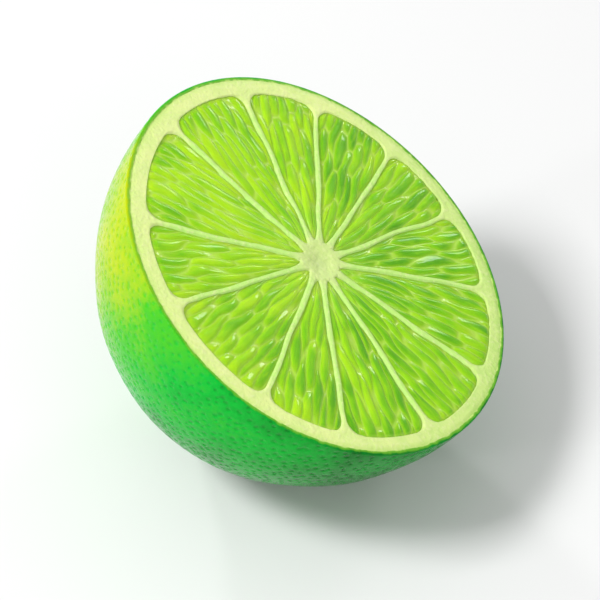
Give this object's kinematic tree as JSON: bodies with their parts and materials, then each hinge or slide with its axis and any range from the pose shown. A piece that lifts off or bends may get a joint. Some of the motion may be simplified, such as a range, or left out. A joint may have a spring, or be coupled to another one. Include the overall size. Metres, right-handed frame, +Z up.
{
  "type": "lime half",
  "caption": "Half a lime, cut straight across and lying on its rind with the cut face up: waxy green rind, pale pith, segments of juicy pulp and a spongy core.",
  "frame": {"origin": "the middle of the small flat spot on the rind that the half lime rests on", "axes": "+Z is up. The fruit's axis leans 32 degrees from +Z towards +X, so the cut face looks up and towards +X, and the nipple of the blossom end points down and towards -X. +Y lies in the cut face."},
  "size_m": [0.0508, 0.0538, 0.0429],
  "materials": {
    "rind": "satin",
    "pith": "matte",
    "pulp": "gloss"
  },
  "bodies": {
    "root": {"lime_half": "rind"}
  },
  "joints": []
}
